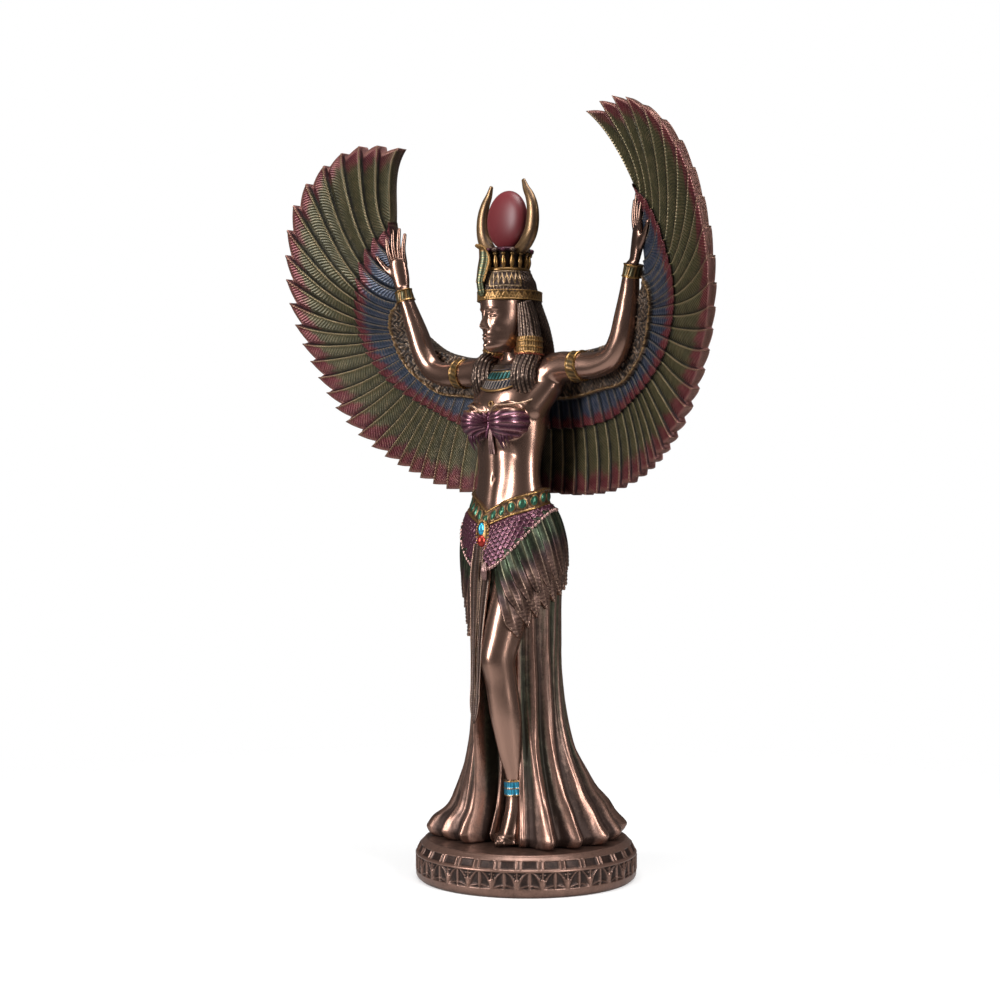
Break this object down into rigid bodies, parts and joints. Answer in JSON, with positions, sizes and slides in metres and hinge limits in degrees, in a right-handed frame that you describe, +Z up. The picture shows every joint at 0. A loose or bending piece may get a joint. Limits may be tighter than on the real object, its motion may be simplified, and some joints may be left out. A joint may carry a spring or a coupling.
{
  "type": "isis statue",
  "caption": "Winged goddess figurine with raised arms, horned sun-disc crown, feathered gown and round lotus plinth, painted bronze finish.",
  "frame": {"origin": "centre of the plinth's underside", "axes": "+Z up, -Y the way the figure faces, +X towards her left hand"},
  "size_m": [0.24, 0.0936, 0.3127],
  "materials": {
    "bronze": "cold-cast copper bronze, hand painted details, semi-gloss",
    "feathers": "olive, blue and dark red paint rubbed back to bronze, satin",
    "plinth": "dark copper bronze with rubbed highlights, semi-gloss"
  },
  "bodies": {
    "root": {"plinth": "plinth", "figure": "bronze", "wing_left": "feathers", "wing_right": "feathers"}
  },
  "joints": []
}
